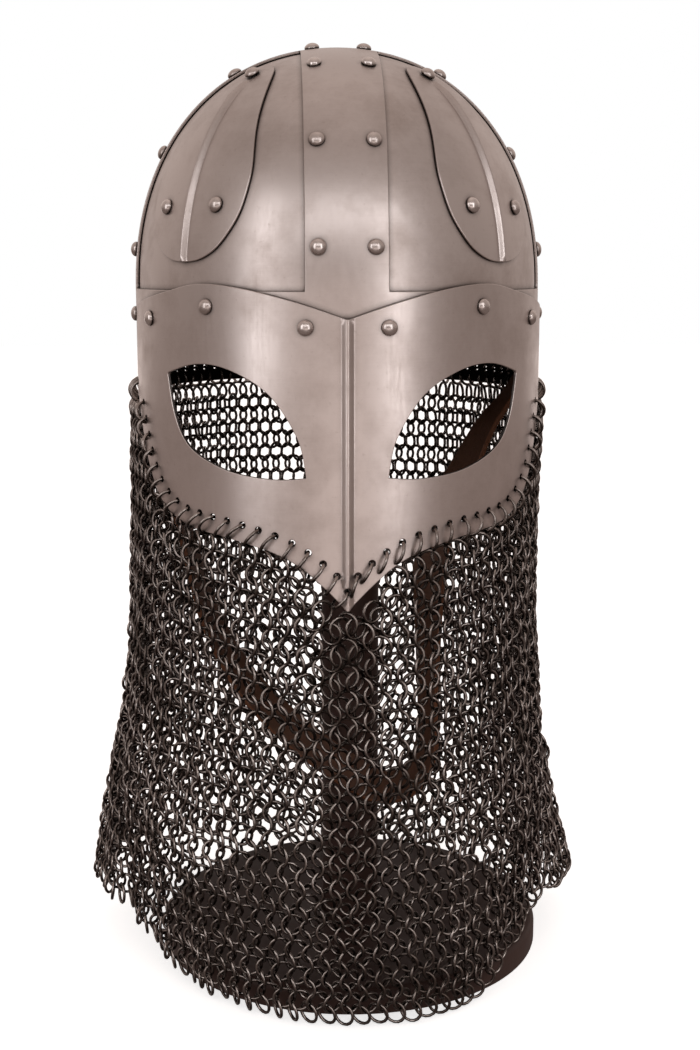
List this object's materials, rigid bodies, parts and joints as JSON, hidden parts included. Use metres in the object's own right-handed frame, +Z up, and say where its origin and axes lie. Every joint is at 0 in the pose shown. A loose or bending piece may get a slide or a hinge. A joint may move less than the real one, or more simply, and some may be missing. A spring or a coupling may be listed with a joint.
{
  "type": "viking helmet with mail aventail on a stand",
  "caption": "Rounded steel helmet of crossed bands with leaf plates, an eye mask and a long mail aventail, resting on a plain post stand.",
  "frame": {"origin": "centre of the stand's foot, on the floor it stands on", "axes": "+Z up along the post, -Y the way the face looks, +X to the right as seen from the front"},
  "size_m": [0.262, 0.2458, 0.4644],
  "materials": {
    "steel": "brushed, softly worn",
    "rivet": "worn",
    "mail": "dark oiled rings",
    "leather": "matt",
    "stand": "dark stain"
  },
  "bodies": {
    "root": {"band_frame": "steel", "mask_plate": "steel", "aventail": "mail", "chin_strap": "leather", "stand_base": "stand", "stand_post": "stand", "skull_plate_front_left": "steel", "skull_plate_front_right": "steel", "skull_plate_rear_left": "steel", "skull_plate_rear_right": "steel", "leaf_front_left": "steel", "leaf_front_right": "steel", "leaf_rear_left": "steel", "leaf_rear_right": "steel", "crest_rivet_front_left_1": "rivet", "crest_rivet_front_left_2": "rivet", "crest_rivet_front_left_3": "rivet", "crest_rivet_front_right_1": "rivet", "crest_rivet_front_right_2": "rivet", "crest_rivet_front_right_3": "rivet", "crest_rivet_rear_left_1": "rivet", "crest_rivet_rear_left_2": "rivet", "crest_rivet_rear_left_3": "rivet", "crest_rivet_rear_right_1": "rivet", "crest_rivet_rear_right_2": "rivet", "crest_rivet_rear_right_3": "rivet", "side_rivet_front_left_1": "rivet", "side_rivet_front_left_2": "rivet", "side_rivet_front_left_3": "rivet", "side_rivet_front_right_1": "rivet", "side_rivet_front_right_2": "rivet", "side_rivet_front_right_3": "rivet", "side_rivet_rear_left_1": "rivet", "side_rivet_rear_left_2": "rivet", "side_rivet_rear_left_3": "rivet", "side_rivet_rear_right_1": "rivet", "side_rivet_rear_right_2": "rivet", "side_rivet_rear_right_3": "rivet", "crossing_rivet_front_left": "rivet", "crossing_rivet_front_right": "rivet", "crossing_rivet_rear_left": "rivet", "crossing_rivet_rear_right": "rivet", "brow_rivet_front_left": "rivet", "brow_rivet_front_right": "rivet", "brow_rivet_rear_left": "rivet", "brow_rivet_rear_right": "rivet", "mask_rivet_left_1": "rivet", "mask_rivet_left_2": "rivet", "mask_rivet_left_3": "rivet", "mask_rivet_right_1": "rivet", "mask_rivet_right_2": "rivet", "mask_rivet_right_3": "rivet", "nape_rivet_left_1": "rivet", "nape_rivet_left_2": "rivet", "nape_rivet_left_3": "rivet", "nape_rivet_right_1": "rivet", "nape_rivet_right_2": "rivet", "nape_rivet_right_3": "rivet"}
  },
  "joints": []
}
